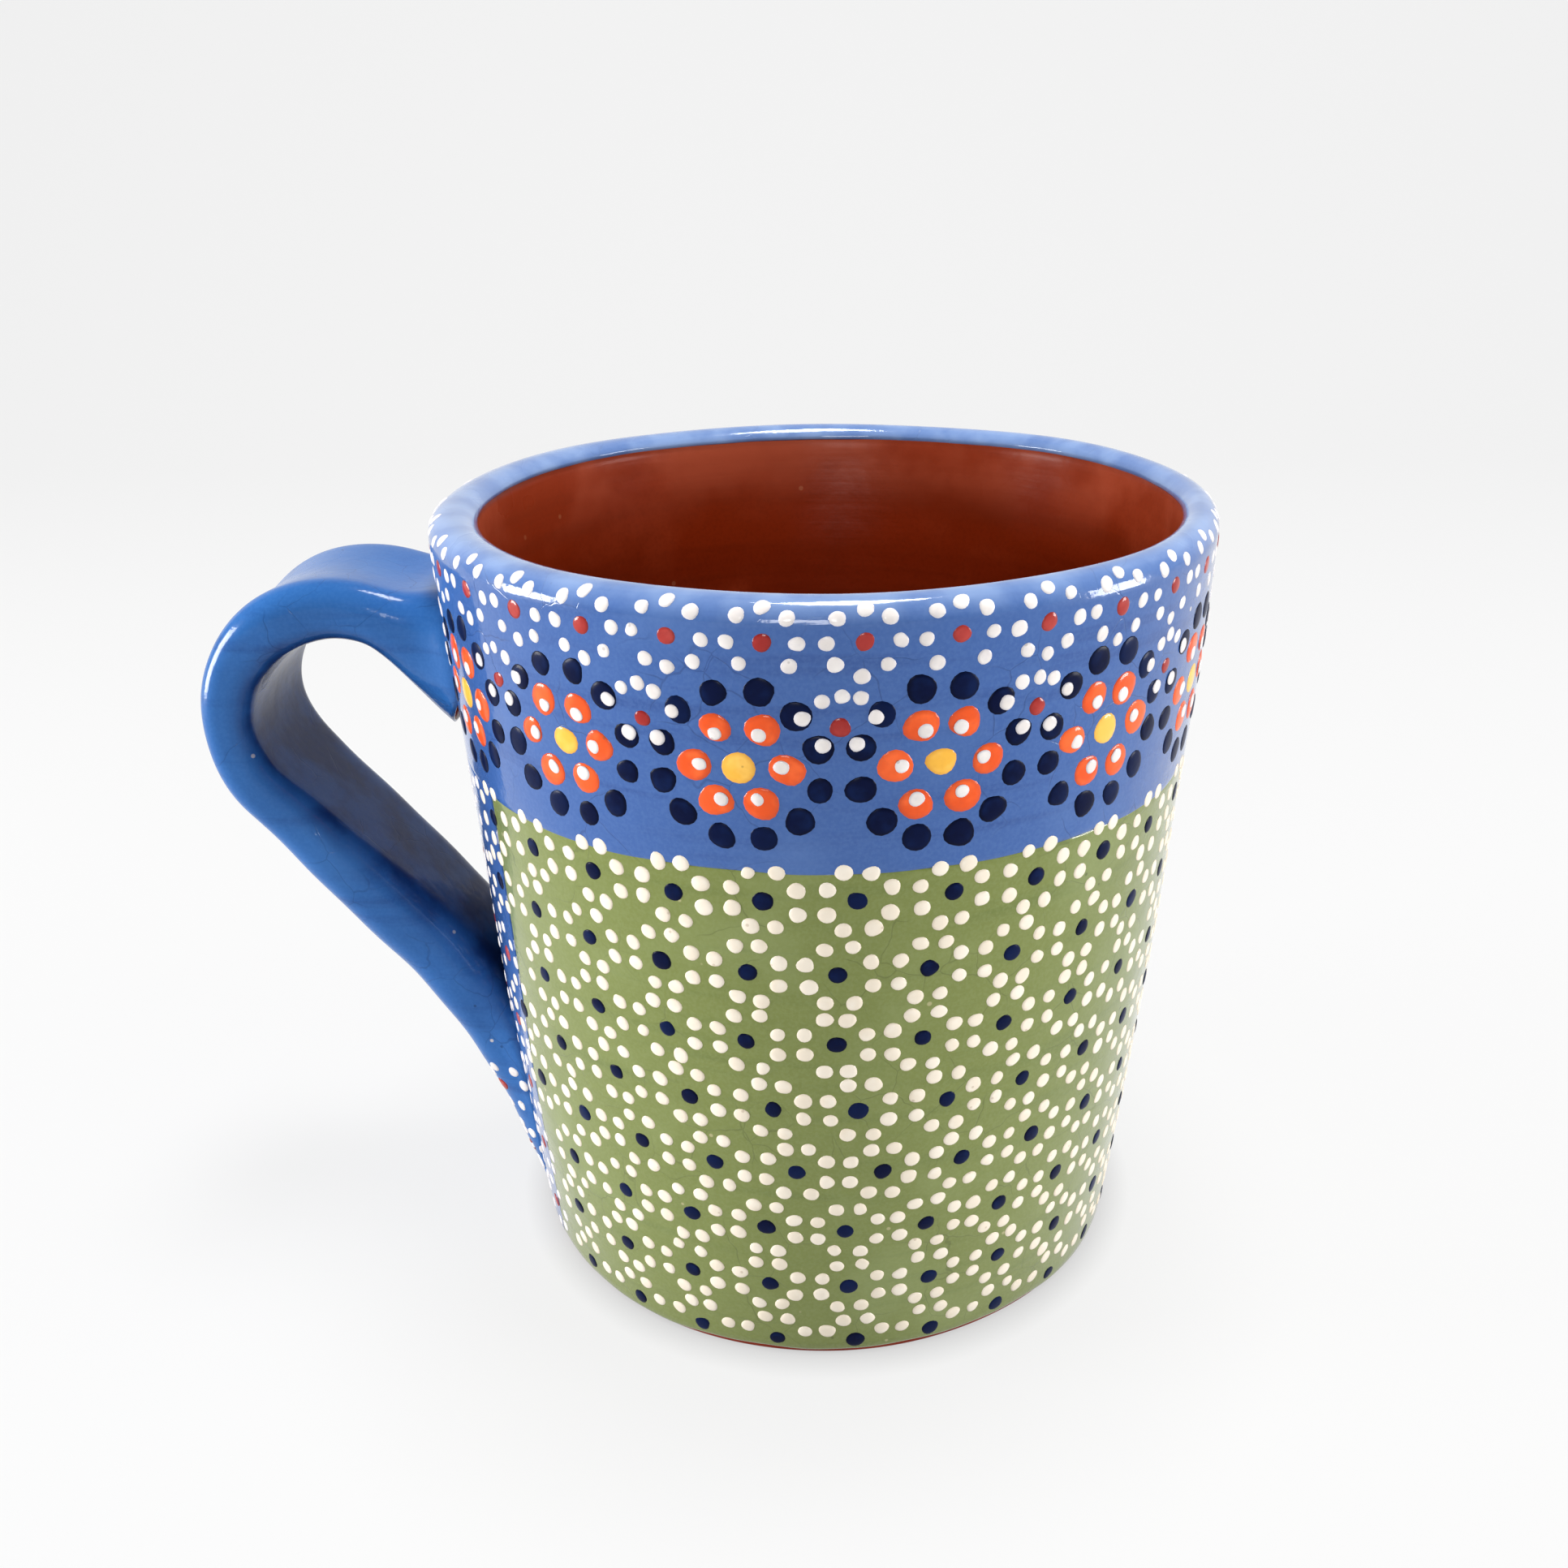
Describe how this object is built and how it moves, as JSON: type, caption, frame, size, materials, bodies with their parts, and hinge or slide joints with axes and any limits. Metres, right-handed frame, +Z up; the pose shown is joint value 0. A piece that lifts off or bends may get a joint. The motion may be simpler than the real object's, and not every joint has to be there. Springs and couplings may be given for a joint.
{
  "type": "handled clay mug",
  "caption": "Tapered clay mug with a strap handle, blue and green slip coats and raised slip dots in flowers and a rosette lattice; holds a hot drink.",
  "frame": {"origin": "centre of the flat underside of the foot", "axes": "+Z up along the cup's axis, -X towards the handle, +Y completes the right-handed frame"},
  "size_m": [0.1182, 0.0896, 0.0935],
  "materials": {
    "terracotta": "fired red clay under a thin clear glaze, glossy",
    "blue_slip": "brushed blue slip under a clear glaze, finely crazed, glossy",
    "green_slip": "brushed sage green slip under a clear glaze, specked, glossy",
    "navy_slip": "navy slip dots under a clear glaze, glossy",
    "orange_slip": "orange slip dots under a clear glaze, glossy",
    "yellow_slip": "yellow slip dots under a clear glaze, glossy",
    "red_slip": "brick red slip dots under a clear glaze, glossy",
    "cream_slip": "cream white slip dots under a clear glaze, glossy"
  },
  "bodies": {
    "root": {"cup_body": "terracotta", "handle": "terracotta", "handle_slip": "blue_slip", "rim_band_slip": "blue_slip", "green_slip": "green_slip", "handle_panel_slip": "blue_slip", "flower_eyes": "yellow_slip", "flower_petals": "orange_slip", "petal_highlights": "cream_slip", "flower_ring_dots": "navy_slip", "band_red_dots": "red_slip", "band_white_dots": "cream_slip", "lattice_navy_dots": "navy_slip", "lattice_white_dots": "cream_slip", "panel_red_dots": "red_slip", "panel_white_dots": "cream_slip"}
  },
  "joints": []
}
